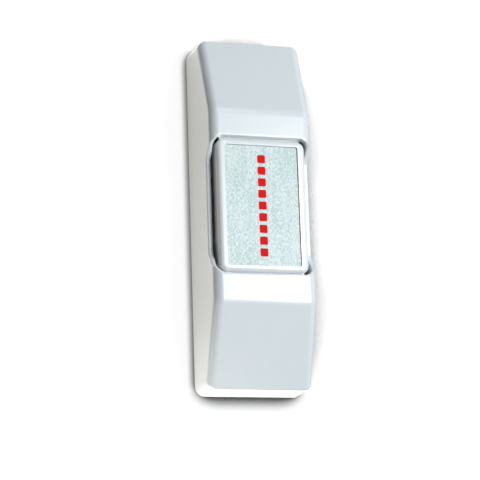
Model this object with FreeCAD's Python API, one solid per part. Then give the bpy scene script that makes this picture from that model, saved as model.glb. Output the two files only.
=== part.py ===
import FreeCAD, Part
import math
import os

V = FreeCAD.Vector

# A wall-mounted panic button, in millimetres. It lies on its back: the back is on Z = 0, Z points out of
# the wall, X runs across it and Y along it. The origin is the middle of the back.

# Cover, the drafted front housing
BACK_WIDTH = 26.4
SIDE_DRAFT = 0.7
BACK_LENGTH = 85.8
END_DRAFT = 0.2
END_HEIGHT = 9.8
FRONT_HEIGHT = 17.6
FLAT_LENGTH = 46.0
BEND_RADIUS = 5.0
SIDE_EDGE_RADIUS = 2.1
END_EDGE_RADIUS = 0.6
CORNER_RADIUS = 2.2
CORNER_TOUCH = 0.005
WALL = 1.8
SIDE_WALL = 1.6

# Waist across the middle of the cover, which bares the sides of the button
RIM_HEIGHT = 13.4
WAIST_FLOOR_LENGTH = 23.0
WAIST_FLANK = 4.7
WAIST_ROUND = 2.4
RIM_EDGE_RADIUS = 0.35

# Opening in the cover for the button, as wide as the room between the side walls
OPENING_LENGTH = 33.2
OPENING_CORNER_RADIUS = 2.2
OPENING_EDGE_RADIUS = 0.3

# Push button
BUTTON_SIDE_GAP = 0.65
BUTTON_END_GAP = 0.45
BUTTON_SINK = 0.6
BUTTON_CORNER_RADIUS = 1.9
BUTTON_EDGE_RADIUS = 1.1
BUTTON_TOP = 1.8
BUTTON_WALL = 1.4
SIDE_SKIRT = 6.6
END_SKIRT = 4.6
TRAVEL = 2.0
FLANGE_REACH = 1.5
FLANGE_THICKNESS = 1.2
FLANGE_INSET = 1.0
STOP_GAP = 0.1
BUTTON_RIB = 1.0
BUTTON_RIB_DEPTH = 1.5

# Label in the button's recess, inside the button's frame
FRAME_SIDE = 1.95
FRAME_END = 1.55
LABEL_THICKNESS = 0.3
LABEL_CORNER_RADIUS = 0.5
LABEL_GAP = 0.06
LABEL_SINK = 0.35
MARK_COUNT = 9
MARK_PITCH = 2.84
MARK_WIDTH = 1.9
MARK_LENGTH = 1.95
MARK_CORNER_RADIUS = 0.3
PRINT_THICKNESS = 0.06

# Base plate
BASE_THICKNESS = 2.0
BASE_GAP = 0.15
BASE_CORNER_RADIUS = 0.8
WALL_SCREW_SPACING = 71.0
WALL_SCREW_RADIUS = 2.1
SCREW_SEAT_WIDTH = 1.3
SCREW_SEAT_HEIGHT = 0.8
CABLE_HOLE_RADIUS = 4.0
CABLE_HOLE_Y = 26.5
SIDE_HOLE_RADIUS = 2.6
SIDE_HOLE_X = -6.2
CABLE_COLLAR = 0.9
CABLE_COLLAR_HEIGHT = 1.0
LEDGE_REACH = 1.2
LEDGE_WIDTH = 12.0
LEDGE_HEIGHT = 1.4

# Snap tongues of the base plate and their pockets in the cover
TONGUE_WIDTH = 4.0
TONGUE_THICKNESS = 1.2
TONGUE_HEIGHT = 6.0
BARB_REACH = 0.65
BARB_HEIGHT = 1.8
BARB_NOSE = 0.4
SNAP_GAP = 0.1

# Guides and return springs
GUIDE_SPACING = 21.0
PIN_RADIUS = 1.5
PIN_CLEARANCE = 0.1
BOSS_WALL = 1.2
BOSS_HEIGHT = 7.5
PIN_TIP_SPARE = 1.0
SPRING_WIRE = 0.5
SPRING_CLEARANCE = 0.25
SPRING_TURNS = 7
SPRING_CLOSED_PITCH = 0.6
SPRING_STEPS = 16
SPRING_SIDES = 8
RUNNER_RIB_REACH = 0.5
RUNNER_RIB_WIDTH = 1.2
RUNNER_RIB_Y = 8.0

# Terminal block
BLOCK_CLEARANCE = 1.85
BLOCK_SIDE_CLEARANCE = 0.9
SHELF_LENGTH = 4.6
WELL_LENGTH = 6.9
SHELF_HEIGHT = 5.0
BARRIER = 1.0
BARRIER_HEIGHT = 3.6

# Contact strips, blade and contacts
STRIP_WIDTH = 3.6
STRIP_THICKNESS = 0.6
STRIP_GAP = 0.3
BLADE_THICKNESS = 0.25
CONTACT_Y = 1.5
CONTACT_ARM = 4.2
CONTACT_RADIUS = 1.2
CONTACT_SHANK_RADIUS = 0.7
CONTACT_HEAD = 0.65
CONTACT_GAP = 0.05
OPEN_TIP_HEIGHT = 0.9
PLUNGER_Y = -2.3
PLUNGER_RADIUS = 1.2
PLUNGER_GAP = 0.1
RIVET_RADIUS = 0.8
RIVET_HEAD_RADIUS = 1.4
RIVET_HEAD = 0.6
POST_RADIUS = 1.6
PEG_RADIUS = 0.7
PEG_PROUD = 0.4
OPEN_PEG_Y = -9.0

# Screws and wire clamps
TERMINAL_SCREW_RADIUS = 1.5
TERMINAL_SCREW_LENGTH = 5.2
SCREW_HOLE_CLEARANCE = 0.1
SCREW_HOLE_SPARE = 0.4
TERMINAL_HEAD_RADIUS = 2.4
TERMINAL_HEAD = 1.8
CLAMP_CLEARANCE = 0.3
CLAMP_THICKNESS = 0.8
CLAMP_HOLE_CLEARANCE = 0.15
BLOCK_SCREW_RADIUS = 0.9
BLOCK_HEAD_RADIUS = 1.35
BLOCK_HEAD = 1.0
BLOCK_SCREW_DEPTH = 3.6
BLOCK_BOSS_RADIUS = 2.2
BLOCK_BOSS_HEIGHT = 3.0
BLOCK_BOSS_GAP = 0.1
SLOT_WIDTH = 0.6
SLOT_SHARE = 0.45

# Places that several pieces share
FRONT_WIDTH = BACK_WIDTH - 2 * SIDE_DRAFT
FRONT_LENGTH = BACK_LENGTH - 2 * END_DRAFT
OPENING_WIDTH = BACK_WIDTH - 2 * SIDE_WALL
CAVITY_HALF_WIDTH = OPENING_WIDTH / 2
CAVITY_TOP = FRONT_HEIGHT - WALL
BUTTON_WIDTH = OPENING_WIDTH - 2 * BUTTON_SIDE_GAP
BUTTON_LENGTH = OPENING_LENGTH - 2 * BUTTON_END_GAP
BUTTON_FACE = FRONT_HEIGHT - BUTTON_SINK
BUTTON_UNDERSIDE = BUTTON_FACE - BUTTON_TOP
FLANGE_END = BUTTON_LENGTH / 2 + FLANGE_REACH
LABEL_WIDTH = BUTTON_WIDTH - 2 * FRAME_SIDE
LABEL_LENGTH = BUTTON_LENGTH - 2 * FRAME_END
LABEL_FACE = BUTTON_FACE - LABEL_SINK
RECESS_FLOOR = LABEL_FACE - LABEL_THICKNESS
BASE_WIDTH = OPENING_WIDTH - 2 * BASE_GAP
BASE_LENGTH = BACK_LENGTH - 2 * WALL - 2 * BASE_GAP
BOSS_RADIUS = PIN_RADIUS + PIN_CLEARANCE + BOSS_WALL
SPRING_RADIUS = BOSS_RADIUS + SPRING_CLEARANCE + SPRING_WIRE / 2
BLOCK_FRONT = -(FLANGE_END + BLOCK_CLEARANCE)
WELL_FRONT = BLOCK_FRONT - SHELF_LENGTH
BLOCK_BACK = WELL_FRONT - WELL_LENGTH
BLOCK_HALF_WIDTH = CAVITY_HALF_WIDTH - BLOCK_SIDE_CLEARANCE
TERMINAL_NAMES = ("closed", "common", "open")
TERMINAL_PITCH = (2 * BLOCK_HALF_WIDTH - BARRIER) / len(TERMINAL_NAMES)
CLAMP_SIDE = TERMINAL_PITCH - BARRIER - 2 * CLAMP_CLEARANCE
TERMINAL_Y = (WELL_FRONT + BLOCK_BACK) / 2
BLOCK_SCREW_Y = (BLOCK_FRONT + WELL_FRONT) / 2
SHELF = BASE_THICKNESS + SHELF_HEIGHT
STRIP_TOP = SHELF + STRIP_THICKNESS
BLADE_TOP = STRIP_TOP + BLADE_THICKNESS
CONTACT_X = TERMINAL_PITCH
CLOSED_TIP_FACE = BLADE_TOP + CONTACT_HEAD + CONTACT_GAP
CLOSED_STRIP_BOTTOM = CLOSED_TIP_FACE + CONTACT_HEAD
OPEN_TIP_FACE = STRIP_TOP - CONTACT_HEAD - TRAVEL - CONTACT_GAP
OPEN_STRIP_TOP = OPEN_TIP_FACE - OPEN_TIP_HEIGHT
TERMINAL_X = {name: (i - 1) * TERMINAL_PITCH for i, name in enumerate(TERMINAL_NAMES)}


def rounded_face(points, radii):
    """A flat face in the closed outline through the points, each corner rounded by its own radius."""
    starts = []
    ends = []
    middles = []
    count = len(points)
    for i, (corner, radius) in enumerate(zip(points, radii)):
        back = (points[i - 1] - corner).normalize()
        ahead = (points[(i + 1) % count] - corner).normalize()
        half_angle = back.getAngle(ahead) / 2
        reach = radius / math.tan(half_angle)
        inward = (back + ahead).normalize()
        starts.append(corner + back * reach)
        ends.append(corner + ahead * reach)
        middles.append(corner + inward * (radius / math.sin(half_angle) - radius))
    edges = []
    for i in range(count):
        if radii[i] > 0:
            edges.append(Part.Arc(starts[i], middles[i], ends[i]).toShape())
        following = starts[(i + 1) % count]
        if ends[i].distanceToPoint(following) > 1e-6:
            edges.append(Part.LineSegment(ends[i], following).toShape())
    return Part.Face(Part.Wire(edges))


def inset_outline(points, insets):
    """The corners of an outline whose sides, each from its corner to the next, are moved in."""
    lines = []
    for i, (y, z) in enumerate(points):
        next_y, next_z = points[(i + 1) % len(points)]
        length = math.hypot(next_y - y, next_z - z)
        along = ((next_y - y) / length, (next_z - z) / length)
        inward = (along[1], -along[0])
        lines.append(((y + inward[0] * insets[i], z + inward[1] * insets[i]), along))
    corners = []
    for i, (point, along) in enumerate(lines):
        before, before_along = lines[i - 1]
        cross = before_along[0] * along[1] - before_along[1] * along[0]
        gap = (point[0] - before[0], point[1] - before[1])
        share = (gap[0] * along[1] - gap[1] * along[0]) / cross
        corners.append((before[0] + before_along[0] * share, before[1] + before_along[1] * share))
    return corners


def block(x, y, z):
    """A box between two values on each axis."""
    size = [b - a for a, b in (x, y, z)]
    return Part.makeBox(*size, V(x[0], y[0], z[0]))


def rod(x, y, z, radius):
    """A round rod along Z between two heights."""
    return Part.makeCylinder(radius, z[1] - z[0], V(x, y, z[0]))


def rounded_plate(width, length, radius, z):
    """A plate centred on the Z axis with rounded corners."""
    x, y = width / 2, length / 2
    corners = [V(-x, -y, z[0]), V(x, -y, z[0]), V(x, y, z[0]), V(-x, y, z[0])]
    return rounded_face(corners, [radius] * 4).extrude(V(0, 0, z[1] - z[0]))


def side_prism(outline, radii, half_width):
    """A side outline of (Y, Z) points, extruded across X."""
    face = rounded_face([V(-half_width, y, z) for y, z in outline], radii)
    return face.extrude(V(2 * half_width, 0, 0))


def joined(first, others):
    """One solid of pieces that touch, with no seams left between flush faces."""
    return first.multiFuse(others).removeSplitter()


def half_width_at(z):
    """Half the cover's width at a height, on its leaning sides."""
    return BACK_WIDTH / 2 - SIDE_DRAFT * z / FRONT_HEIGHT


# Cover


def cover_outline():
    """Side outline of the cover: upright ends, two slopes and the flat middle."""
    back, front, flat = BACK_LENGTH / 2, FRONT_LENGTH / 2, FLAT_LENGTH / 2
    return [
        (-back, 0.0),
        (-front, END_HEIGHT),
        (-flat, FRONT_HEIGHT),
        (flat, FRONT_HEIGHT),
        (front, END_HEIGHT),
        (back, 0.0),
    ]


def waist_outline():
    """Side outline of the waisted middle: flat, flank, rim, flank and flat again."""
    floor = WAIST_FLOOR_LENGTH / 2
    top = floor + WAIST_FLANK
    end = top + WAIST_ROUND + 1
    return [
        (-end, 0.0),
        (-end, FRONT_HEIGHT),
        (-top, FRONT_HEIGHT),
        (-floor, RIM_HEIGHT),
        (floor, RIM_HEIGHT),
        (top, FRONT_HEIGHT),
        (end, FRONT_HEIGHT),
        (end, 0.0),
    ]


def drafted_bar(outline, radii, edge_radius):
    """A bar with this side outline, its sides leaning in and its long front edges rounded."""
    section = [
        V(-half_width_at(0), -BACK_LENGTH, 0),
        V(half_width_at(0), -BACK_LENGTH, 0),
        V(half_width_at(FRONT_HEIGHT), -BACK_LENGTH, FRONT_HEIGHT),
        V(-half_width_at(FRONT_HEIGHT), -BACK_LENGTH, FRONT_HEIGHT),
    ]
    lean = rounded_face(section, [0] * 4).extrude(V(0, 2 * BACK_LENGTH, 0))
    bar = side_prism(outline, radii, BACK_WIDTH / 2 + 1).common(lean)
    long_edges = []
    for edge in bar.Edges:
        box = edge.BoundBox
        on_side = max(abs(box.XMin), abs(box.XMax)) > half_width_at(box.ZMin) - 0.01
        if on_side and box.YLength > 0.01 and box.ZMin > 0.01 and box.XLength < 1:
            long_edges.append(edge)
    return bar.makeFillet(edge_radius, long_edges)


def plan_block():
    """A block with the cover's leaning walls and rounded upright corners.

    It is wider by the touch at each side, so that the corner rounds cross the long edges cleanly.
    """
    outlines = []
    for z in (0.0, FRONT_HEIGHT + 1):
        x = half_width_at(z) + CORNER_TOUCH
        y = BACK_LENGTH / 2 - END_DRAFT * z / END_HEIGHT
        corners = [V(-x, -y, z), V(x, -y, z), V(x, y, z), V(-x, y, z)]
        outlines.append(rounded_face(corners, [CORNER_RADIUS] * 4).OuterWire)
    return Part.makeLoft(outlines, True, True)


def rounded_ends(bar):
    """Gives a bar its upright corners and rounds the front edge of both end walls."""
    bar = bar.common(plan_block()).removeSplitter()
    edges = []
    for edge in bar.Edges:
        box = edge.BoundBox
        at_end = min(abs(box.YMin), abs(box.YMax)) > FRONT_LENGTH / 2 - 0.05
        if at_end and box.ZMin > END_HEIGHT / 2:
            edges.append(edge)
    return bar.makeFillet(END_EDGE_RADIUS, edges)


def snap_pocket(side, y):
    """The pocket that a snap tongue's barb springs into."""
    depth = CAVITY_HALF_WIDTH - BASE_GAP + BARB_REACH + SNAP_GAP
    x = sorted((side * (CAVITY_HALF_WIDTH - 1), side * depth))
    top = BASE_THICKNESS + TONGUE_HEIGHT + SNAP_GAP
    width = TONGUE_WIDTH / 2 + SNAP_GAP * 2
    return block(x, (y - width, y + width), (top - BARB_HEIGHT - 2 * SNAP_GAP, top))


def cover():
    """The front housing: one thin moulding, open at the back and at the button."""
    plain = drafted_bar(cover_outline(), [0, 0, BEND_RADIUS, BEND_RADIUS, 0, 0], SIDE_EDGE_RADIUS)
    plain = rounded_ends(plain)
    rounds = [0, 0, WAIST_ROUND, WAIST_ROUND, WAIST_ROUND, WAIST_ROUND, 0, 0]
    waisted = drafted_bar(waist_outline(), rounds, RIM_EDGE_RADIUS)
    reach = waisted.BoundBox.YMax
    above = block((-BACK_WIDTH, BACK_WIDTH), (-reach, reach), (RIM_HEIGHT - 3, FRONT_HEIGHT + 3))
    shell = plain.cut(above.cut(waisted))

    inner = inset_outline(cover_outline(), [WALL] * 5 + [-1])
    inner_bend = max(BEND_RADIUS - WALL, 0.5)
    cavity = side_prism(inner, [0, 0, inner_bend, inner_bend, 0, 0], CAVITY_HALF_WIDTH)
    opening = rounded_plate(
        OPENING_WIDTH, OPENING_LENGTH, OPENING_CORNER_RADIUS, (CAVITY_TOP - 1, FRONT_HEIGHT + 1)
    )
    shell = shell.cut(opening)
    shell = rounded_opening(shell)
    shell = shell.cut(cavity)

    tongue_y = WALL_SCREW_SPACING / 2
    pockets = [snap_pocket(side, y) for side in (-1, 1) for y in (-tongue_y, tongue_y)]
    shell = shell.cut(Part.makeCompound(pockets))
    return joined(shell, seat_ledges() + runner_ribs())


def rounded_opening(shell):
    """Rounds the front edge of the button's opening, all the way round."""
    edges = []
    for edge in shell.Edges:
        box = edge.BoundBox
        inside = max(abs(box.XMin), abs(box.XMax)) < OPENING_WIDTH / 2 + 0.01
        inside = inside and max(abs(box.YMin), abs(box.YMax)) < OPENING_LENGTH / 2 + 0.01
        if inside and box.ZMin > CAVITY_TOP - 0.9 and box.ZLength < 0.9 * (FRONT_HEIGHT - CAVITY_TOP):
            edges.append(edge)
    return shell.makeFillet(OPENING_EDGE_RADIUS, edges)


def seat_ledges():
    """Ledges on the inside of the end walls that the base plate seats against."""
    half = LEDGE_WIDTH / 2
    z = (BASE_THICKNESS, BASE_THICKNESS + LEDGE_HEIGHT)
    wall = BACK_LENGTH / 2 - WALL
    return [
        block((-half, half), (wall - LEDGE_REACH, wall + WALL / 2), z),
        block((-half, half), (-wall - WALL / 2, -wall + LEDGE_REACH), z),
    ]


def runner_ribs():
    """Upright ribs inside the side walls that the button's skirt runs between."""
    ribs = []
    z = (BASE_THICKNESS + STOP_GAP, RIM_HEIGHT - RUNNER_RIB_WIDTH)
    for side in (-1, 1):
        face = side * (CAVITY_HALF_WIDTH - RUNNER_RIB_REACH)
        x = sorted((face, side * (CAVITY_HALF_WIDTH + SIDE_WALL / 4)))
        for y in (-RUNNER_RIB_Y, RUNNER_RIB_Y):
            ribs.append(block(x, (y - RUNNER_RIB_WIDTH / 2, y + RUNNER_RIB_WIDTH / 2), z))
    return ribs


# Push button and label


def button_cap():
    """The push button: a hollow cap with a label recess, stop flanges, guide pins and the plunger."""
    z = (BUTTON_FACE - SIDE_SKIRT, BUTTON_FACE)
    cap = rounded_plate(BUTTON_WIDTH, BUTTON_LENGTH, BUTTON_CORNER_RADIUS, z)
    rim = [e for e in cap.Edges if e.BoundBox.ZMin > BUTTON_FACE - 0.01]
    cap = cap.makeFillet(BUTTON_EDGE_RADIUS, rim)
    inner_width = BUTTON_WIDTH - 2 * BUTTON_WALL
    inner_length = BUTTON_LENGTH - 2 * BUTTON_WALL
    inner_radius = max(BUTTON_CORNER_RADIUS - BUTTON_WALL, 0.3)
    hollow = rounded_plate(inner_width, inner_length, inner_radius, (z[0] - 1, BUTTON_UNDERSIDE))
    recess = rounded_plate(
        LABEL_WIDTH + 2 * LABEL_GAP,
        LABEL_LENGTH + 2 * LABEL_GAP,
        LABEL_CORNER_RADIUS + LABEL_GAP,
        (RECESS_FLOOR, BUTTON_FACE + 1),
    )
    end_cuts = block(
        (-inner_width / 2, inner_width / 2),
        (-BUTTON_LENGTH, BUTTON_LENGTH),
        (z[0] - 1, BUTTON_FACE - END_SKIRT),
    )
    cap = cap.cut(Part.makeCompound([hollow, recess])).cut(end_cuts)

    stop = CAVITY_TOP - STOP_GAP
    flange_z = (stop - FLANGE_THICKNESS, stop)
    flange_x = (FLANGE_INSET - BUTTON_WIDTH / 2, BUTTON_WIDTH / 2 - FLANGE_INSET)
    root = BUTTON_LENGTH / 2 - BUTTON_CORNER_RADIUS
    additions = [
        block(flange_x, (root, FLANGE_END), flange_z),
        block(flange_x, (-FLANGE_END, -root), flange_z),
    ]
    pin_tip = BASE_THICKNESS + TRAVEL + PIN_TIP_SPARE
    embedded = BUTTON_UNDERSIDE + BUTTON_RIB / 2
    for y in (-GUIDE_SPACING / 2, GUIDE_SPACING / 2):
        additions.append(rod(0, y, (pin_tip, embedded), PIN_RADIUS))
    additions.append(rod(CONTACT_X, PLUNGER_Y, (BLADE_TOP + PLUNGER_GAP, embedded), PLUNGER_RADIUS))
    additions += stiffening_ribs(inner_width)
    return joined(cap, additions)


def stiffening_ribs(inner_width):
    """Low cross ribs under the button's top, between the springs."""
    x = (-inner_width / 2 - BUTTON_WALL / 2, inner_width / 2 + BUTTON_WALL / 2)
    z = (BUTTON_UNDERSIDE - BUTTON_RIB_DEPTH, BUTTON_UNDERSIDE + BUTTON_RIB / 2)
    clear = GUIDE_SPACING / 2 - SPRING_RADIUS - SPRING_WIRE
    middle = clear - BUTTON_RIB
    return [block(x, (y - BUTTON_RIB / 2, y + BUTTON_RIB / 2), z) for y in (-middle, middle)]


def label_plate():
    """The thin metal label that fills the button's recess."""
    return rounded_plate(LABEL_WIDTH, LABEL_LENGTH, LABEL_CORNER_RADIUS, (RECESS_FLOOR, LABEL_FACE))


def label_marks():
    """The printed column of equal marks."""
    z = (LABEL_FACE, LABEL_FACE + PRINT_THICKNESS)
    mark = rounded_plate(MARK_WIDTH, MARK_LENGTH, MARK_CORNER_RADIUS, z)
    first = -(MARK_COUNT - 1) / 2 * MARK_PITCH
    return Part.makeCompound([mark.translated(V(0, first + i * MARK_PITCH, 0)) for i in range(MARK_COUNT)])


# Base plate


def snap_tongue(side, y):
    """One snap tongue: an upright leaf with a barb that faces the side wall."""
    face = CAVITY_HALF_WIDTH - BASE_GAP
    top = BASE_THICKNESS + TONGUE_HEIGHT
    outline = [
        (face - TONGUE_THICKNESS, BASE_THICKNESS - 1),
        (face, BASE_THICKNESS - 1),
        (face, top - BARB_HEIGHT),
        (face + BARB_REACH, top - BARB_HEIGHT),
        (face + BARB_REACH, top - BARB_HEIGHT + BARB_NOSE),
        (face, top),
        (face - TONGUE_THICKNESS, top),
    ]
    points = [V(side * x, y - TONGUE_WIDTH / 2, z) for x, z in outline]
    return rounded_face(points, [0] * len(points)).extrude(V(0, TONGUE_WIDTH, 0))


def base_plate():
    """The back plate, with everything that is moulded on it."""
    plate = rounded_plate(BASE_WIDTH, BASE_LENGTH, BASE_CORNER_RADIUS, (0, BASE_THICKNESS))
    top = BASE_THICKNESS
    under = top - 1
    screw_y = WALL_SCREW_SPACING / 2
    additions = [
        rod(-CONTACT_X, CONTACT_Y, (under, CLOSED_STRIP_BOTTOM), POST_RADIUS),
        rod(
            -CONTACT_X,
            CONTACT_Y,
            (under, CLOSED_STRIP_BOTTOM + STRIP_THICKNESS + PEG_PROUD),
            PEG_RADIUS,
        ),
        rod(CONTACT_X, CONTACT_Y, (under, OPEN_STRIP_TOP - STRIP_THICKNESS), POST_RADIUS),
        rod(CONTACT_X, OPEN_PEG_Y, (under, OPEN_STRIP_TOP - STRIP_THICKNESS), POST_RADIUS),
        rod(CONTACT_X, OPEN_PEG_Y, (under, OPEN_STRIP_TOP + PEG_PROUD), PEG_RADIUS),
    ]
    holes = []
    collar_top = top + CABLE_COLLAR_HEIGHT
    cable_holes = [(0, CABLE_HOLE_Y, CABLE_HOLE_RADIUS), (SIDE_HOLE_X, -screw_y, SIDE_HOLE_RADIUS)]
    for x, y, radius in cable_holes:
        additions.append(rod(x, y, (under, collar_top), radius + CABLE_COLLAR))
        holes.append(rod(x, y, (-1, collar_top + 1), radius))
    for y in (-screw_y, screw_y):
        seat = WALL_SCREW_RADIUS + SCREW_SEAT_WIDTH
        additions.append(rod(0, y, (under, top + SCREW_SEAT_HEIGHT), seat))
        holes.append(rod(0, y, (-1, top + SCREW_SEAT_HEIGHT + 1), WALL_SCREW_RADIUS))
        additions += [snap_tongue(side, y) for side in (-1, 1)]
    for y in (-GUIDE_SPACING / 2, GUIDE_SPACING / 2):
        additions.append(rod(0, y, (under, top + BOSS_HEIGHT), BOSS_RADIUS))
        holes.append(rod(0, y, (top, top + BOSS_HEIGHT + 1), PIN_RADIUS + PIN_CLEARANCE))
    boss_top = top + BLOCK_BOSS_HEIGHT
    for x in (-TERMINAL_PITCH / 2, TERMINAL_PITCH / 2):
        additions.append(rod(x, BLOCK_SCREW_Y, (under, boss_top), BLOCK_BOSS_RADIUS))
        hole_z = (boss_top - BLOCK_SCREW_DEPTH, boss_top + 1)
        holes.append(rod(x, BLOCK_SCREW_Y, hole_z, BLOCK_SCREW_RADIUS))
    return joined(plate, additions).cut(Part.makeCompound(holes))


# Terminal block


def terminal_block():
    """The insert that carries the strips: a shelf in front, and three wells between barriers."""
    half = BLOCK_HALF_WIDTH
    top = SHELF + BARRIER_HEIGHT
    body = block((-half, half), (BLOCK_BACK, BLOCK_FRONT), (BASE_THICKNESS, SHELF))
    barriers = []
    for i in range(4):
        x = (i - 1.5) * TERMINAL_PITCH
        width = (x - BARRIER / 2, x + BARRIER / 2)
        barriers.append(block(width, (BLOCK_BACK, WELL_FRONT), (SHELF - 1, top)))
    cuts = []
    for x in TERMINAL_X.values():
        tip = STRIP_TOP + CLAMP_THICKNESS - TERMINAL_SCREW_LENGTH - SCREW_HOLE_SPARE
        cuts.append(rod(x, TERMINAL_Y, (tip, SHELF + 1), TERMINAL_SCREW_RADIUS + SCREW_HOLE_CLEARANCE))
    for x in (-TERMINAL_PITCH / 2, TERMINAL_PITCH / 2):
        boss = BASE_THICKNESS + BLOCK_BOSS_HEIGHT
        boss_hole = BLOCK_BOSS_RADIUS + BLOCK_BOSS_GAP
        screw_hole = BLOCK_SCREW_RADIUS + SCREW_HOLE_CLEARANCE
        cuts.append(rod(x, BLOCK_SCREW_Y, (BASE_THICKNESS - 1, boss), boss_hole))
        cuts.append(rod(x, BLOCK_SCREW_Y, (boss - 1, SHELF + 1), screw_hole))
    return joined(body, barriers).cut(Part.makeCompound(cuts))


# Strips, blade and contacts


def bent_strip(x, levels, width=STRIP_WIDTH):
    """Blocks of a strip along Y, bent square, through (Y, height of its underside) points."""
    pieces = []
    for (y0, z0), (y1, z1) in zip(levels, levels[1:]):
        if z0 == z1:
            pieces.append(((min(y0, y1), max(y0, y1)), (z0, z0 + STRIP_THICKNESS)))
        else:
            low, high = min(z0, z1), max(z0, z1) + STRIP_THICKNESS
            pieces.append(((y0 - STRIP_THICKNESS, y0), (low, high)))
    blocks = [block((x - width / 2, x + width / 2), y, z) for y, z in pieces]
    return blocks


def terminal_hole(x):
    """The tapped hole of a strip, at its terminal."""
    return rod(x, TERMINAL_Y, (SHELF - 1, STRIP_TOP + 1), TERMINAL_SCREW_RADIUS)


def strip_back():
    """Where the strips begin, at the back of the wells."""
    return BLOCK_BACK + STRIP_GAP


def common_strip():
    """The common terminal: a flat strip with a side arm that the blade is riveted to."""
    start = BLOCK_FRONT + STRIP_THICKNESS + 2 * STRIP_GAP
    z = (SHELF, STRIP_TOP)
    half = STRIP_WIDTH / 2
    tail = block((-half, half), (strip_back(), start + STRIP_WIDTH), z)
    arm = block((-half, CONTACT_X + half), (start, start + STRIP_WIDTH), z)
    rivet_hole = rod(CONTACT_X, rivet_y(), (SHELF - 1, STRIP_TOP + 1), RIVET_RADIUS)
    return joined(tail, [arm]).cut(Part.makeCompound([terminal_hole(0), rivet_hole]))


def rivet_y():
    """The blade's rivet is in the middle of the common strip's arm."""
    return BLOCK_FRONT + STRIP_THICKNESS + 2 * STRIP_GAP + STRIP_WIDTH / 2


def closed_strip():
    """The normally closed terminal: it rises at the block and crosses above the blade's free end."""
    x = TERMINAL_X["closed"]
    rise = BLOCK_FRONT + STRIP_GAP + STRIP_THICKNESS
    arm_end = CONTACT_Y + CONTACT_ARM / 2
    levels = [(strip_back(), SHELF), (rise, SHELF), (rise, CLOSED_STRIP_BOTTOM)]
    blocks = bent_strip(x, levels + [(arm_end, CLOSED_STRIP_BOTTOM)])
    z = (CLOSED_STRIP_BOTTOM, CLOSED_STRIP_BOTTOM + STRIP_THICKNESS)
    x_range = (x - STRIP_WIDTH / 2, CONTACT_X + STRIP_WIDTH / 2)
    blocks.append(block(x_range, (CONTACT_Y - CONTACT_ARM / 2, arm_end), z))
    holes = [terminal_hole(x), rod(x, CONTACT_Y, (z[0] - 1, z[1] + 1), PEG_RADIUS)]
    return joined(blocks[0], blocks[1:]).cut(Part.makeCompound(holes))


def open_strip():
    """The normally open terminal: it drops at the block and runs below the blade."""
    x = TERMINAL_X["open"]
    drop = BLOCK_FRONT + STRIP_THICKNESS
    bottom = OPEN_STRIP_TOP - STRIP_THICKNESS
    levels = [(strip_back(), SHELF), (drop, SHELF), (drop, bottom)]
    blocks = bent_strip(x, levels + [(CONTACT_Y + CONTACT_ARM / 2, bottom)])
    holes = [terminal_hole(x), rod(x, OPEN_PEG_Y, (bottom - 1, OPEN_STRIP_TOP + 1), PEG_RADIUS)]
    return joined(blocks[0], blocks[1:]).cut(Part.makeCompound(holes))


def contact_blade():
    """The springy blade, riveted at one end, whose free end the plunger pushes."""
    start = rivet_y() - STRIP_WIDTH / 2 + STRIP_GAP
    end = CONTACT_Y + CONTACT_ARM / 2
    half = STRIP_WIDTH / 2
    corners = [V(-half, start, 0), V(half, start, 0), V(half, end, 0), V(-half, end, 0)]
    blade = rounded_face(corners, [0.4, 0.4, half * 0.9, half * 0.9]).extrude(V(0, 0, BLADE_THICKNESS))
    blade.translate(V(CONTACT_X, 0, STRIP_TOP))
    holes = [
        rod(CONTACT_X, rivet_y(), (STRIP_TOP - 1, BLADE_TOP + 1), RIVET_RADIUS),
        rod(CONTACT_X, CONTACT_Y, (STRIP_TOP - 1, BLADE_TOP + 1), CONTACT_SHANK_RADIUS),
    ]
    return blade.cut(Part.makeCompound(holes))


def two_headed_rivet(x, y, z, shank_radius, head_radius, head):
    """A rivet closed on both faces of what it holds, which lies between the two heights."""
    outline = [
        V(0, 0, z[0] - head),
        V(head_radius * 0.8, 0, z[0] - head),
        V(head_radius, 0, z[0] - head * 0.6),
        V(head_radius, 0, z[0]),
        V(shank_radius, 0, z[0]),
        V(shank_radius, 0, z[1]),
        V(head_radius, 0, z[1]),
        V(head_radius, 0, z[1] + head * 0.6),
        V(head_radius * 0.8, 0, z[1] + head),
        V(0, 0, z[1] + head),
    ]
    turned = rounded_face(outline, [0] * len(outline)).revolve(V(0, 0, 0), V(0, 0, 1), 360)
    return turned.translated(V(x, y, 0))


def blade_rivet():
    return two_headed_rivet(
        CONTACT_X, rivet_y(), (SHELF, BLADE_TOP), RIVET_RADIUS, RIVET_HEAD_RADIUS, RIVET_HEAD
    )


def moving_contact():
    return two_headed_rivet(
        CONTACT_X, CONTACT_Y, (STRIP_TOP, BLADE_TOP), CONTACT_SHANK_RADIUS, CONTACT_RADIUS, CONTACT_HEAD
    )


def contact_tip(z):
    """A fixed contact button on a strip, its edge rounded at both ends."""
    return rod(CONTACT_X, CONTACT_Y, z, CONTACT_RADIUS)


# Screws, clamps and springs


def slotted_screw(x, y, seat, length, radius, head_radius, head):
    """A cheese-head screw under which the seat lies at the given height, with a screwdriver slot."""
    shank = rod(x, y, (seat - length, seat + head / 2), radius)
    body = joined(rod(x, y, (seat, seat + head), head_radius), [shank])
    top = [e for e in body.Edges if e.BoundBox.ZMin > seat + head - 0.01]
    body = body.makeFillet(head / 5, top)
    slot = block(
        (x - head_radius, x + head_radius),
        (y - SLOT_WIDTH / 2, y + SLOT_WIDTH / 2),
        (seat + head * (1 - SLOT_SHARE), seat + head + 1),
    )
    return body.cut(slot)


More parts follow.
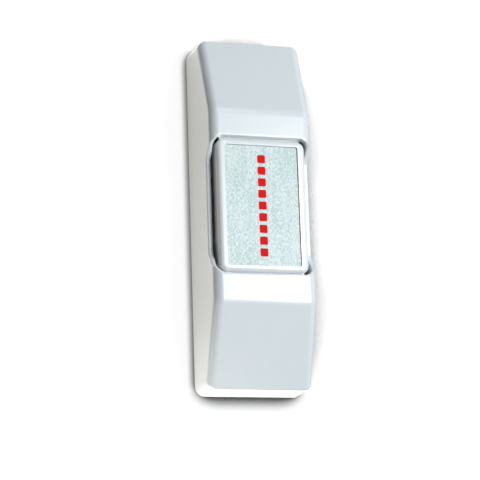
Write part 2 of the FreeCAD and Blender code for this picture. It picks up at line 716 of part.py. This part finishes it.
def terminal_screw(x):
    return slotted_screw(
        x,
        TERMINAL_Y,
        STRIP_TOP + CLAMP_THICKNESS,
        TERMINAL_SCREW_LENGTH,
        TERMINAL_SCREW_RADIUS,
        TERMINAL_HEAD_RADIUS,
        TERMINAL_HEAD,
    )


def wire_clamp(x):
    """The square plate that a terminal screw presses on the wire."""
    half = CLAMP_SIDE / 2
    z = (STRIP_TOP, STRIP_TOP + CLAMP_THICKNESS)
    plate = block((x - half, x + half), (TERMINAL_Y - half, TERMINAL_Y + half), z)
    hole = rod(x, TERMINAL_Y, (z[0] - 1, z[1] + 1), TERMINAL_SCREW_RADIUS + CLAMP_HOLE_CLEARANCE)
    return plate.cut(hole)


def block_screw(x):
    boss = BASE_THICKNESS + BLOCK_BOSS_HEIGHT
    length = SHELF - boss + BLOCK_SCREW_DEPTH - SCREW_HOLE_SPARE
    return slotted_screw(
        x, BLOCK_SCREW_Y, SHELF, length, BLOCK_SCREW_RADIUS, BLOCK_HEAD_RADIUS, BLOCK_HEAD
    )


def coil_ring(angle, height):
    """The points round the spring's wire where it has turned by an angle."""
    ring = []
    for i in range(SPRING_SIDES):
        turn = 2 * math.pi * i / SPRING_SIDES
        reach = SPRING_RADIUS + SPRING_WIRE / 2 * math.cos(turn)
        z = height + SPRING_WIRE / 2 * math.sin(turn)
        ring.append(V(reach * math.cos(angle), reach * math.sin(angle), z))
    return ring


def return_spring(y):
    """A coil spring round a guide boss, closed at both ends, between the base plate and the button."""
    low = BASE_THICKNESS + SPRING_WIRE / 2
    high = BUTTON_UNDERSIDE - SPRING_WIRE / 2
    open_turns = SPRING_TURNS - 2
    pitch = (high - low - 2 * SPRING_CLOSED_PITCH) / open_turns
    rings = []
    for i in range(SPRING_TURNS * SPRING_STEPS + 1):
        turns = i / SPRING_STEPS
        middle = min(max(turns - 1, 0), open_turns)
        height = low + middle * pitch + (turns - middle) * SPRING_CLOSED_PITCH
        rings.append(coil_ring(2 * math.pi * turns, height))
    faces = [Part.Face(Part.makePolygon(ring + [ring[0]])) for ring in (rings[0], rings[-1])]
    for near, far in zip(rings, rings[1:]):
        for i in range(SPRING_SIDES):
            j = (i + 1) % SPRING_SIDES
            faces.append(Part.Face(Part.makePolygon([near[i], near[j], far[j], near[i]])))
            faces.append(Part.Face(Part.makePolygon([near[i], far[j], far[i], near[i]])))
    shell = Part.makeShell(faces)
    shell.sewShape()
    coil = Part.makeSolid(shell)
    if coil.Volume < 0:
        coil.reverse()
    return coil.translated(V(0, y, 0))


def build():
    """All the pieces, by name."""
    pieces = {
        "cover": cover(),
        "base_plate": base_plate(),
        "button_cap": button_cap(),
        "label_plate": label_plate(),
        "label_marks": label_marks(),
        "terminal_block": terminal_block(),
        "common_strip": common_strip(),
        "closed_strip": closed_strip(),
        "open_strip": open_strip(),
        "contact_blade": contact_blade(),
        "blade_rivet": blade_rivet(),
        "moving_contact": moving_contact(),
        "closed_tip": contact_tip((CLOSED_TIP_FACE, CLOSED_STRIP_BOTTOM)),
        "open_tip": contact_tip((OPEN_STRIP_TOP, OPEN_TIP_FACE)),
        "return_spring_upper": return_spring(GUIDE_SPACING / 2),
        "return_spring_lower": return_spring(-GUIDE_SPACING / 2),
        "block_screw_left": block_screw(-TERMINAL_PITCH / 2),
        "block_screw_right": block_screw(TERMINAL_PITCH / 2),
    }
    for terminal, x in TERMINAL_X.items():
        pieces["terminal_screw_" + terminal] = terminal_screw(x)
        pieces["wire_clamp_" + terminal] = wire_clamp(x)
    return pieces


os.makedirs("parts", exist_ok=True)
for name, shape in build().items():
    shape.exportStep("parts/" + name + ".step")
    box = shape.optimalBoundingBox()
    print(
        f"{name:22s} solids {len(shape.Solids):2d} valid {shape.isValid()} volume {shape.Volume:9.2f}"
        f" x {box.XMin:.2f} {box.XMax:.2f} y {box.YMin:.2f} {box.YMax:.2f} z {box.ZMin:.2f} {box.ZMax:.2f}"
    )
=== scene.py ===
import math

import bmesh
import bpy
from mathutils import Matrix, Vector


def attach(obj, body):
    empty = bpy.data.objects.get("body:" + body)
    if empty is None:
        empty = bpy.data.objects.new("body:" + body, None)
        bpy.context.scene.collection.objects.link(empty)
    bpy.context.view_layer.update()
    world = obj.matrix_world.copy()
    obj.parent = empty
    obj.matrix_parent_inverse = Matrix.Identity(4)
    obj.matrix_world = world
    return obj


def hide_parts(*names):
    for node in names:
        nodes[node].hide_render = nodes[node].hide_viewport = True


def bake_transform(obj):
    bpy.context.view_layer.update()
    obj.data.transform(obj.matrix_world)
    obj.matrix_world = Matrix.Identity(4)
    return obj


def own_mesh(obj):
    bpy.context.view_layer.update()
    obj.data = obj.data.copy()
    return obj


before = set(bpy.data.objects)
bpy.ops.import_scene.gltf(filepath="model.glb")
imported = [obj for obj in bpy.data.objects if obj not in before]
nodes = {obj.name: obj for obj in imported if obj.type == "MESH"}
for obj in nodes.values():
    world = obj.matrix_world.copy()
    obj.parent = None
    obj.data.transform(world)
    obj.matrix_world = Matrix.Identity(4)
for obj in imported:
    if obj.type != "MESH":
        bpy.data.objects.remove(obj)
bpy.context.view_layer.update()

MM = 0.001


# Base plate
# The back of the case: one ABS moulding that carries the switch parts and snaps into the cover. Its
# finish is the plain side of the moulding, a fine matt grain with faint clouding from the flow.

NOISE_MIDDLE = (0.3, 0.7)
PLASTIC_IOR = 1.53
CLOUD_SIZE = 9.0
CLOUD_STOPS = (0.35, 0.65)


def new_material(name, **sockets):
    """A material whose shader sockets are set by name, with _ for a space."""
    material = bpy.data.materials.new(name)
    material.use_nodes = True
    shader = material.node_tree.nodes["Principled BSDF"]
    for socket, value in sockets.items():
        shader.inputs[socket.replace("_", " ")].default_value = value
    return material


def add_node(material, kind, inputs=None, **settings):
    """A shader node; inputs gives each socket a value or the output that feeds it."""
    node = material.node_tree.nodes.new("ShaderNode" + kind)
    for setting, value in settings.items():
        setattr(node, setting, value)
    for socket, value in (inputs or {}).items():
        if isinstance(value, bpy.types.NodeSocket):
            material.node_tree.links.new(value, node.inputs[socket])
        else:
            node.inputs[socket].default_value = value
    return node


def feed(material, socket, output):
    """Feeds a socket of the material's shader."""
    shader = material.node_tree.nodes["Principled BSDF"]
    material.node_tree.links.new(output, shader.inputs[socket])


def place_in(material, stretch=(1, 1, 1)):
    """The place on the object, stretched along each axis."""
    coordinates = add_node(material, "TexCoord")
    mapping = add_node(material, "Mapping", {"Vector": coordinates.outputs["Object"], "Scale": stretch})
    return mapping.outputs["Vector"]


def noise(material, size, stretch=(1, 1, 1), detail=3.0):
    """Noise whose patches are about this many millimetres across."""
    scale = 1 / (size * MM)
    inputs = {"Vector": place_in(material, stretch), "Scale": scale, "Detail": detail}
    return add_node(material, "TexNoise", inputs).outputs["Fac"]


def ramp(material, factor, stops):
    """A colour ramp between two (place, colour) stops."""
    node = add_node(material, "ValToRGB", {"Fac": factor})
    for element, (place, colour) in zip(node.color_ramp.elements, stops):
        element.position = place
        element.color = (*colour, 1)
    return node.outputs["Color"]


def spread(material, factor, low, high):
    """The factor's middle range, mapped to run from low to high."""
    start, end = NOISE_MIDDLE
    inputs = {"Value": factor, "From Min": start, "From Max": end, "To Min": low, "To Max": high}
    return add_node(material, "MapRange", inputs).outputs["Result"]


def bump(material, height, depth, below=None):
    """A bump of this depth in millimetres, on top of another."""
    inputs = {"Height": height, "Distance": depth * MM, "Strength": 1.0}
    if below is not None:
        inputs["Normal"] = below
    return add_node(material, "Bump", inputs).outputs["Normal"]


def moulded_plastic(name, colour, clouded, roughness, grain_size, grain_depth, **sockets):
    """Moulded plastic: faintly clouded colour and a fine grain."""
    material = new_material(name, IOR=PLASTIC_IOR, Roughness=roughness, **sockets)
    clouds = noise(material, CLOUD_SIZE)
    feed(material, "Base Color", ramp(material, clouds, zip(CLOUD_STOPS, (clouded, colour))))
    grain = bump(material, noise(material, grain_size), grain_depth)
    feed(material, "Normal", grain)
    return material


def dress(names, material):
    """Gives CAD nodes a material."""
    for name in names:
        nodes[name].data.materials.clear()
        nodes[name].data.materials.append(material)


base_abs = moulded_plastic(
    "base_abs",
    colour=(0.78, 0.79, 0.78),
    clouded=(0.74, 0.75, 0.73),
    roughness=0.52,
    grain_size=0.25,
    grain_depth=0.01,
)
dress(["base_plate"], base_abs)


# Terminal block and its two screws
# A black thermoset insert, moulded with a shelf and three wells. Two zinc plated steel screws hold it
# on the base plate.

METAL_PATCH_SIZE = 1.2
METAL_PATCH_STOPS = (0.35, 0.6)
METAL_MARK_SIZE = 0.1

block_thermoset = moulded_plastic(
    "block_thermoset",
    colour=(0.028, 0.028, 0.03),
    clouded=(0.02, 0.02, 0.022),
    roughness=0.42,
    grain_size=0.2,
    grain_depth=0.012,
)
dress(["terminal_block"], block_thermoset)


def worked_metal(name, colour, worn, roughness, marks_stretch, marks_depth):
    """Metal with worn patches and fine marks along the way it was drawn, rolled or turned."""
    material = new_material(name, Metallic=1.0)
    patches = noise(material, METAL_PATCH_SIZE)
    feed(material, "Base Color", ramp(material, patches, zip(METAL_PATCH_STOPS, (worn, colour))))
    marks = noise(material, METAL_MARK_SIZE, marks_stretch)
    feed(material, "Roughness", spread(material, marks, *roughness))
    feed(material, "Normal", bump(material, marks, marks_depth))
    return material


zinc = worked_metal(
    "zinc_plate",
    colour=(0.62, 0.63, 0.64),
    worn=(0.48, 0.48, 0.5),
    roughness=(0.28, 0.45),
    marks_stretch=(1, 1, 0.3),
    marks_depth=0.003,
)
dress(["block_screw_left", "block_screw_right"], zinc)


# Contact strips and tips
# Stamped brass strips on the block's shelf, with fine silver tips on two of them and a brass rivet
# through the third.

brass = worked_metal(
    "stamped_brass",
    colour=(0.78, 0.57, 0.24),
    worn=(0.62, 0.43, 0.17),
    roughness=(0.2, 0.38),
    marks_stretch=(1, 0.08, 1),
    marks_depth=0.003,
)
dress(["common_strip", "closed_strip", "open_strip", "blade_rivet"], brass)
silver = worked_metal(
    "contact_silver",
    colour=(0.88, 0.87, 0.84),
    worn=(0.66, 0.63, 0.58),
    roughness=(0.18, 0.4),
    marks_stretch=(1, 1, 1),
    marks_depth=0.002,
)
dress(["closed_tip", "open_tip"], silver)


# Contact blade
# A leaf of rolled phosphor bronze. One end is riveted to the middle strip, and the button's plunger
# bends the free end, where a silver contact is riveted through it.

bronze = worked_metal(
    "rolled_bronze",
    colour=(0.72, 0.45, 0.27),
    worn=(0.55, 0.32, 0.18),
    roughness=(0.22, 0.36),
    marks_stretch=(1, 0.05, 1),
    marks_depth=0.002,
)
BLADE_X = 6.8 * MM
BLADE_HALF_WIDTH = 1.8 * MM
BLADE_ENDS = (-18.0 * MM, 3.6 * MM)
BLADE_LEVELS = (7.6 * MM, 7.85 * MM)
BLADE_STEPS = 48
BLADE_CORNER = 0.4 * MM
BLADE_CORNER_STEP = 0.12 * MM
BLADE_END_STEPS = 12
CONTACT_Y = 1.5 * MM
CONTACT_LEVELS = (6.95 * MM, 7.58 * MM, 7.87 * MM, 8.5 * MM)
CONTACT_HEAD = 1.2 * MM
CONTACT_DOME = 0.25 * MM
CONTACT_DOME_EDGE = 0.06 * MM
CONTACT_FLAT_SHARE = 0.6
CONTACT_NECK_SHARE = 0.98
TURNED_SIDES = 40


def outward_faces(mesh):
    """Turns every face of a mesh outward and shades it smooth."""
    work = bmesh.new()
    work.from_mesh(mesh)
    bmesh.ops.recalc_face_normals(work, faces=work.faces)
    work.to_mesh(mesh)
    work.free()
    mesh.shade_smooth()


def place_piece(name, mesh, material, body, node):
    """Puts a piece in the scene in place of a CAD node."""
    piece = bpy.data.objects.new(name, mesh)
    mesh.materials.append(material)
    bpy.context.scene.collection.objects.link(piece)
    if body:
        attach(piece, body)
    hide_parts(node)
    return piece


def blade_outline():
    """Points round the blade: a rounded free end, and a nearly square end at the rivet."""
    first, last = BLADE_ENDS
    straight_end = last - BLADE_HALF_WIDTH
    half_widths = [
        (first, BLADE_HALF_WIDTH - BLADE_CORNER),
        (first + BLADE_CORNER_STEP, BLADE_HALF_WIDTH - BLADE_CORNER_STEP),
    ]
    for step in range(BLADE_STEPS + 1):
        y = first + BLADE_CORNER + (straight_end - first - BLADE_CORNER) * step / BLADE_STEPS
        half_widths.append((y, BLADE_HALF_WIDTH))
    for step in range(1, BLADE_END_STEPS):
        turn = math.pi / 2 * step / BLADE_END_STEPS
        y = straight_end + BLADE_HALF_WIDTH * math.sin(turn)
        half_widths.append((y, BLADE_HALF_WIDTH * math.cos(turn)))
    return half_widths


def strip_mesh(name, half_widths, levels):
    """A flat strip along Y, of these half widths, between two levels."""
    work = bmesh.new()
    rows = []
    for y, half in half_widths:
        corners = ((-half, levels[0]), (half, levels[0]), (half, levels[1]), (-half, levels[1]))
        rows.append([work.verts.new((BLADE_X + x, y, z)) for x, z in corners])
    for row, after in zip(rows, rows[1:]):
        for i in range(4):
            work.faces.new((row[i], row[(i + 1) % 4], after[(i + 1) % 4], after[i]))
    work.faces.new(reversed(rows[0]))
    work.faces.new(rows[-1])
    mesh = bpy.data.meshes.new(name)
    work.to_mesh(mesh)
    work.free()
    return mesh


def turned_mesh(name, centre, profile):
    """A round solid about a vertical axis, from (radius, height) points that start and end on it."""
    x, y = centre
    turns = [math.tau * side / TURNED_SIDES for side in range(TURNED_SIDES)]
    work = bmesh.new()
    rings = []
    for radius, height in profile[1:-1]:
        corners = [(x + radius * math.cos(turn), y + radius * math.sin(turn), height) for turn in turns]
        rings.append([work.verts.new(corner) for corner in corners])
    for ring, after in zip(rings, rings[1:]):
        for i in range(TURNED_SIDES):
            following = (i + 1) % TURNED_SIDES
            work.faces.new((ring[i], ring[following], after[following], after[i]))
    for pole, ring in ((profile[0], rings[0]), (profile[-1], rings[-1])):
        tip = work.verts.new((x, y, pole[1]))
        for i in range(TURNED_SIDES):
            work.faces.new((tip, ring[i], ring[(i + 1) % TURNED_SIDES]))
    mesh = bpy.data.meshes.new(name)
    work.to_mesh(mesh)
    work.free()
    return mesh


def bent_piece(name, mesh, material, node):
    """A piece of the blade, shaded smooth and put in the scene in place of its CAD node, on no body."""
    outward_faces(mesh)
    piece = place_piece(name, mesh, material, None, node)
    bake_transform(piece)
    return piece


leaf_mesh = strip_mesh("leaf", blade_outline(), BLADE_LEVELS)
bent_piece("leaf", leaf_mesh, bronze, "contact_blade")
low, below, above, high = CONTACT_LEVELS
rim = CONTACT_HEAD - CONTACT_DOME
flat = rim * CONTACT_FLAT_SHARE
profile = [
    (0, low),
    (flat, low),
    (rim, low + CONTACT_DOME_EDGE),
    (CONTACT_HEAD, low + CONTACT_DOME),
    (CONTACT_HEAD, below),
    (CONTACT_HEAD * CONTACT_NECK_SHARE, above),
    (CONTACT_HEAD, high - CONTACT_DOME),
    (rim, high - CONTACT_DOME_EDGE),
    (flat, high),
    (0, high),
]
contact_mesh = turned_mesh("leaf_contact", (BLADE_X, CONTACT_Y), profile)
bent_piece("leaf_contact", contact_mesh, silver, "moving_contact")


# Terminal screws and clamp plates
# Slotted cheese-head screws of zinc plated steel, one in each well of the block. Each presses a square
# clamp plate of the same steel on its wire.

terminals = ("closed", "common", "open")
dress(["terminal_screw_" + terminal for terminal in terminals], zinc)
dress(["wire_clamp_" + terminal for terminal in terminals], zinc)


# Return springs
# Two coils of drawn spring wire, one round each guide boss of the base plate. Their end turns are
# closed and ground flat. They push the button out, and shorten as it goes in.

COIL_RADIUS = 3.3 * MM
COIL_WIRE = 0.5 * MM
COIL_FOOT = 2.0 * MM
COIL_TOP = 15.2 * MM
COIL_TURNS = 7
COIL_CLOSED_PITCH = 0.6 * MM
COIL_STEPS = 40
COIL_SIDES = 14
GUIDE_Y = 10.5 * MM


def swept_mesh(name, path, radius, sides):
    """A closed round wire through the points of a path."""
    rings = []
    for i, point in enumerate(path):
        ahead = path[min(i + 1, len(path) - 1)] - path[max(i - 1, 0)]
        outward = Vector((point.x, point.y, 0)).normalized()
        upward = ahead.cross(outward).normalized()
        for side in range(sides):
            turn = math.tau * side / sides
            rings.append(point + (outward * math.cos(turn) + upward * math.sin(turn)) * radius)
    faces = []
    for i in range(len(path) - 1):
        for side in range(sides):
            after = (side + 1) % sides
            start = i * sides
            faces.append((start + side, start + after, start + sides + after, start + sides + side))
    faces.append(tuple(reversed(range(sides))))
    faces.append(tuple(range((len(path) - 1) * sides, len(path) * sides)))
    mesh = bpy.data.meshes.new(name)
    mesh.from_pydata(rings, [], faces)
    return mesh


def coil_path():
    """The centre line of a coil: closed end turns, and even turns between them."""
    steps = COIL_TURNS * COIL_STEPS
    low = COIL_FOOT + COIL_WIRE / 2
    span = COIL_TOP - COIL_FOOT - COIL_WIRE
    open_pitch = (span - 2 * COIL_CLOSED_PITCH) / (COIL_TURNS - 2)
    path = []
    for step in range(steps + 1):
        turn = COIL_TURNS * step / steps
        height = min(turn, 1) * COIL_CLOSED_PITCH
        height += min(max(turn - 1, 0), COIL_TURNS - 2) * open_pitch
        height += max(turn - COIL_TURNS + 1, 0) * COIL_CLOSED_PITCH
        angle = math.tau * turn
        path.append(Vector((COIL_RADIUS * math.cos(angle), COIL_RADIUS * math.sin(angle), low + height)))
    return path


wire = worked_metal(
    "spring_wire",
    colour=(0.5, 0.5, 0.52),
    worn=(0.36, 0.36, 0.38),
    roughness=(0.3, 0.45),
    marks_stretch=(1, 1, 1),
    marks_depth=0.002,
)
for end, y in (("upper", GUIDE_Y), ("lower", -GUIDE_Y)):
    mesh = swept_mesh("coil_" + end, coil_path(), COIL_WIRE / 2, COIL_SIDES)
    mesh.transform(Matrix.Translation((0, y, 0)))
    outward_faces(mesh)
    coil = place_piece("coil_" + end, mesh, wire, "housing", "return_spring_" + end)
    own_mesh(coil)


# Cover
# One glossy white ABS moulding with sloped ends, waisted where the button sits. It is polished smooth,
# with the slight ripple and faint clouding of such mouldings.

cover_abs = moulded_plastic(
    "cover_abs",
    colour=(0.815, 0.845, 0.865),
    clouded=(0.805, 0.835, 0.855),
    roughness=0.29,
    grain_size=5.0,
    grain_depth=0.002,
    Coat_Weight=0.9,
    Coat_Roughness=0.2,
)
dress(["cover"], cover_abs)


# Push button
# A cap of the same ABS, whose raised frame shines from use. It slides in the base plate's bosses on two
# pins, and its flange holds it under the cover's edge.

button_abs = moulded_plastic(
    "button_abs",
    colour=(0.885, 0.905, 0.91),
    clouded=(0.875, 0.895, 0.9),
    roughness=0.22,
    grain_size=4.0,
    grain_depth=0.0015,
    Coat_Weight=0.7,
    Coat_Roughness=0.15,
)
dress(["button_cap"], button_abs)


# Label
# Thin aluminium, brushed along the button and sealed with a satin lacquer, with a column of plain red
# screen-printed marks.

BRUSHED_SHARE = 0.4
BLOTCH_SHARE = 0.1
LABEL_DARK = (0.41, (0.45, 0.54, 0.53))
LABEL_PALE = (0.59, (0.71, 0.78, 0.77))
LABEL_DEPTH = 0.01
INK_DARK = (0.3, (0.84, 0.004, 0.003))
INK_PALE = (0.7, (0.9, 0.008, 0.006))


def mix(material, factor, first, second):
    """A mix of two values, from the first at factor 0 to the second at factor 1."""
    return add_node(material, "Mix", {"Factor": factor, "A": first, "B": second}).outputs[0]


label = new_material("brushed_label", Metallic=0.3, Specular_IOR_Level=0.4)
speckle = noise(label, size=0.38, stretch=(1, 0.6, 1), detail=2.0)
brushed = noise(label, size=0.9, stretch=(1, 0.05, 1), detail=3.0)
blotches = noise(label, size=4.0, stretch=(1, 0.4, 1), detail=1.0)
grain = mix(label, BRUSHED_SHARE, speckle, brushed)
clouded_grain = mix(label, BLOTCH_SHARE, grain, blotches)
feed(label, "Base Color", ramp(label, clouded_grain, [LABEL_DARK, LABEL_PALE]))
feed(label, "Roughness", spread(label, brushed, low=0.5, high=0.62))
feed(label, "Normal", bump(label, brushed, LABEL_DEPTH, bump(label, speckle, LABEL_DEPTH)))
dress(["label_plate"], label)

ink = new_material("red_ink", Roughness=0.6, Specular_IOR_Level=0.1)
feed(ink, "Base Color", ramp(ink, noise(ink, size=0.3), [INK_DARK, INK_PALE]))
feed(ink, "Normal", bump(ink, noise(ink, size=0.12), depth=0.006))
dress(["label_marks"], ink)


# Floor
# A white sheet that shows white to the camera. The shadow round the object is mostly painted shade on
# it, darkest where a spot is most enclosed and reaching further on the right and at the top. A warm patch
# by the object glows to mirror rays only, a painted reflection for the object's sides, and is paler than
# the rest of the sheet to bounced light.

FLOOR_HALF = 0.6
FLOOR_DROP = 0.05 * MM
FLOOR_TONE = 0.85
ROOM_TONE = 0.45
FLOOR_SEEN_TONE = 0.12
FLOOR_LIFT = 0.94
# The card is a patch of the sheet that is paler to bounced light and glows warm to mirror rays only: a
# painted reflection for the object's sides, a little stronger towards its lower end.
CARD_HALF = (0.024, 0.056, 1)
CARD_X = -0.007
CARD_EDGE = (0.85, 1.2)
CARD_GLOW_STRENGTH = (0.9, 1.0)
CARD_GLOW_ENDS = (-0.027, -0.031)
CARD_GLOW_COLOUR = (1.0, 0.96, 0.88, 1)
WHITE = (1, 1, 1, 1)
SHADE_SAMPLES = 16
SHADE_REACH = (0.0032, 0.006)
SHADE_DEEPEST = (0.17, 0.05)
SHADE_OPEN = (0.5, 0.9)
LOWER_END = (-0.0415, -0.0435)
WIDE_SHADE_REACH = 0.04
WIDE_SHADE_DEEPEST = 0.0
WIDE_SHADE_OPEN = (0.6, 0.705)
WIDE_SHADE_RIGHT = (0.014, 0.0155)
WIDE_SHADE_TOP = (0.043, 0.044)

floor_mesh = bpy.data.meshes.new("floor")
corners = [(x * FLOOR_HALF, y * FLOOR_HALF, -FLOOR_DROP) for x, y in ((-1, -1), (1, -1), (1, 1), (-1, 1))]
floor_mesh.from_pydata(corners, [], [(0, 1, 2, 3)])
floor = bpy.data.objects.new("floor", floor_mesh)
bpy.context.scene.collection.objects.link(floor)
floor_white = new_material("floor_white", Roughness=1.0, Specular_IOR_Level=0.0, Emission_Color=WHITE)
position = add_node(floor_white, "NewGeometry").outputs["Position"]
floor_place = add_node(floor_white, "SeparateXYZ", {"Vector": position}).outputs


def between(low, high, value, ends):
    """A number that runs from low to high, while the value runs from one end to the other."""
    inputs = {"Value": value, "From Min": ends[0], "From Max": ends[1], "To Min": low, "To Max": high}
    return add_node(floor_white, "MapRange", inputs, interpolation_type="SMOOTHSTEP").outputs["Result"]


def compute(operation, *values):
    """The result of a math node."""
    return add_node(floor_white, "Math", dict(enumerate(values)), operation=operation).outputs[0]


def occluded(reach, open_ends, deepest):
    """Painted shade on the floor from how enclosed each spot is, from its depth at the foot to none."""
    occlusion = add_node(floor_white, "AmbientOcclusion", {"Distance": reach}, samples=SHADE_SAMPLES)
    return between(deepest, 1.0, occlusion.outputs["AO"], open_ends)


# Painted shadow round the object: deeper at its lower end, and wider on its right and above it.
foot_reach = between(*SHADE_REACH, floor_place["Y"], LOWER_END)
foot_deepest = between(*SHADE_DEEPEST, floor_place["Y"], LOWER_END)
foot_shade = occluded(foot_reach, SHADE_OPEN, foot_deepest)
wide_shade = occluded(WIDE_SHADE_REACH, WIDE_SHADE_OPEN, WIDE_SHADE_DEEPEST)
right_of_it = between(0.0, 1.0, floor_place["X"], WIDE_SHADE_RIGHT)
above_it = between(0.0, 1.0, floor_place["Y"], WIDE_SHADE_TOP)
shade = mix(floor_white, compute("MAXIMUM", right_of_it, above_it), foot_shade, wide_shade)

card_scale = [1 / half for half in CARD_HALF]
card_mapping = {"Vector": position, "Scale": card_scale, "Location": (-CARD_X * card_scale[0], 0, 0)}
card_vector = add_node(floor_white, "Mapping", card_mapping).outputs[0]
card_place = add_node(floor_white, "SeparateXYZ", {"Vector": card_vector}).outputs
across_card = compute("ABSOLUTE", card_place["X"])
along_card = compute("ABSOLUTE", card_place["Y"])
glowing_card = between(1.0, 0.0, compute("MAXIMUM", across_card, along_card), CARD_EDGE)
card_glow_strength = between(*CARD_GLOW_STRENGTH, floor_place["Y"], CARD_GLOW_ENDS)

rays = add_node(floor_white, "LightPath").outputs
camera_ray = rays["Is Camera Ray"]
mirrored = compute("MAXIMUM", rays["Is Glossy Ray"], rays["Is Transmission Ray"])
seen = compute("MAXIMUM", camera_ray, mirrored)
lit_tone = compute("MULTIPLY_ADD", glowing_card, FLOOR_TONE - ROOM_TONE, ROOM_TONE)
# To the camera the sheet's white glow and colour are darkened by the painted shade.
seen_lit_tone = compute("MULTIPLY", shade, FLOOR_SEEN_TONE)
feed(floor_white, "Base Color", mix(floor_white, camera_ray, lit_tone, seen_lit_tone))
# Mirror rays see the card's painted glow; the camera sees the white sheet with its painted shade.
seen_tone = mix(floor_white, camera_ray, glowing_card, shade)
lift = mix(floor_white, camera_ray, card_glow_strength, FLOOR_LIFT)
feed(floor_white, "Emission Strength", compute("MULTIPLY", compute("MULTIPLY", seen, seen_tone), lift))
colours = add_node(floor_white, "Mix", {"Factor": camera_ray}, data_type="RGBA")
colours.inputs["A"].default_value = CARD_GLOW_COLOUR
colours.inputs["B"].default_value = WHITE
feed(floor_white, "Emission Color", colours.outputs["Result"])
floor_mesh.materials.append(floor_white)


# Studio light
# A pale room that is dim on the left, and that the camera sees as white. Three soft boxes stand above
# the object, and three small ones low down at its left and its lower end.

ROOM_ENDS = (-0.6, 0.9)
ROOM_LEVELS = (0.02, 0.5)
ROOM_LEFT = (0.0, (1.0, 0.96, 0.88))
ROOM_RIGHT = (0.6, (0.8, 0.91, 1.0))

world = bpy.data.worlds.new("room")
bpy.context.scene.world = world
world.use_nodes = True
links = world.node_tree.links
background = world.node_tree.nodes["Background"]
way = add_node(world, "TexCoord").outputs["Generated"]
across = add_node(world, "SeparateXYZ", {"Vector": way}).outputs["X"]
room_range = {"Value": across, "From Min": ROOM_ENDS[0], "From Max": ROOM_ENDS[1]}
side = add_node(world, "MapRange", room_range, interpolation_type="SMOOTHSTEP").outputs["Result"]
camera_ray = add_node(world, "LightPath").outputs["Is Camera Ray"]
backdrop = add_node(world, "Mix", {"Factor": camera_ray}, data_type="RGBA")
links.new(ramp(world, side, [ROOM_LEFT, ROOM_RIGHT]), backdrop.inputs["A"])
backdrop.inputs["B"].default_value = WHITE
links.new(backdrop.outputs["Result"], background.inputs["Color"])
levels = {"Value": side, "To Min": ROOM_LEVELS[0], "To Max": ROOM_LEVELS[1]}
level = add_node(world, "MapRange", levels).outputs["Result"]
links.new(mix(world, camera_ray, level, 1.0), background.inputs["Strength"])


def soft_box(name, place, target, size, power, colour=(1, 1, 1)):
    """A rectangular lamp at a place, turned to a target."""
    data = bpy.data.lights.new(name, "AREA")
    data.shape = "RECTANGLE"
    data.size, data.size_y = size
    data.energy = power
    data.color = colour
    lamp = bpy.data.objects.new(name, data)
    lamp.location = place
    lamp.rotation_euler = (Vector(target) - Vector(place)).to_track_quat("-Z", "Y").to_euler()
    bpy.context.scene.collection.objects.link(lamp)


soft_box(
    "key_box",
    place=(0.23, 0.005, 0.5),
    target=(0, 0, 0.01),
    size=(0.3, 0.15),
    power=2.03,
    colour=(0.93, 0.98, 1.0),
)
soft_box(
    "glint_box",
    place=(0.159, 0.03, 0.5),
    target=(0, -0.021, 0.017),
    size=(0.07, 0.09),
    power=0.14,
)
soft_box(
    "top_box",
    place=(0.05, 0.33, 0.42),
    target=(0, 0.02, 0.01),
    size=(0.15, 0.15),
    power=0.23,
)
soft_box(
    "low_box",
    place=(-0.09, -0.15, 0.014),
    target=(-0.01, -0.045, 0.005),
    size=(0.06, 0.02),
    power=0.01,
    colour=(1.0, 0.95, 0.85),
)
soft_box(
    "left_box",
    place=(-0.12, -0.05, 0.007),
    target=(-0.013, -0.043, 0.003),
    size=(0.02, 0.008),
    power=0.008,
    colour=(1.0, 0.98, 0.93),
)
soft_box(
    "foot_box",
    place=(-0.035, -0.08, 0.006),
    target=(-0.01, -0.042, 0.005),
    size=(0.02, 0.008),
    power=0.013,
    colour=(1.0, 0.99, 0.95),
)


# Camera
# It looks down on the object from the lower left, a little turned, as the photograph does. Its angles,
# distance and focal length are those that fit the photograph's edges.

VIEW_LEFT = math.radians(17.2)
VIEW_LOW = math.radians(14.3)
VIEW_ROLL = math.radians(-2.01)
VIEW_DISTANCE = 0.44663
FOCAL_PIXELS = 1860.8
PICTURE = 480
SENSOR_WIDTH = 36
NEAREST = 0.01
TARGET = Vector((0, 0, 0.008))
TARGET_PIXEL = (252.21, 214.58)

towards = Vector(
    (
        -math.sin(VIEW_LEFT) * math.cos(VIEW_LOW),
        -math.sin(VIEW_LOW),
        math.cos(VIEW_LEFT) * math.cos(VIEW_LOW),
    )
)
level_right = (-towards).cross(Vector((0, 1, 0))).normalized()
level_up = level_right.cross(-towards)
right = level_right * math.cos(VIEW_ROLL) + level_up * math.sin(VIEW_ROLL)
up = level_up * math.cos(VIEW_ROLL) - level_right * math.sin(VIEW_ROLL)
camera_data = bpy.data.cameras.new("camera")
camera = bpy.data.objects.new("camera", camera_data)
bpy.context.scene.collection.objects.link(camera)
camera_data.sensor_width = SENSOR_WIDTH
camera_data.lens = FOCAL_PIXELS / PICTURE * SENSOR_WIDTH
camera_data.shift_x = (PICTURE / 2 - TARGET_PIXEL[0]) / PICTURE
camera_data.shift_y = (TARGET_PIXEL[1] - PICTURE / 2) / PICTURE
camera_data.clip_start = NEAREST
camera_turn = Matrix((right, up, towards)).transposed().to_4x4()
camera.matrix_world = Matrix.Translation(TARGET + towards * VIEW_DISTANCE) @ camera_turn
bpy.context.scene.camera = camera
bpy.context.scene.view_settings.view_transform = "Standard"
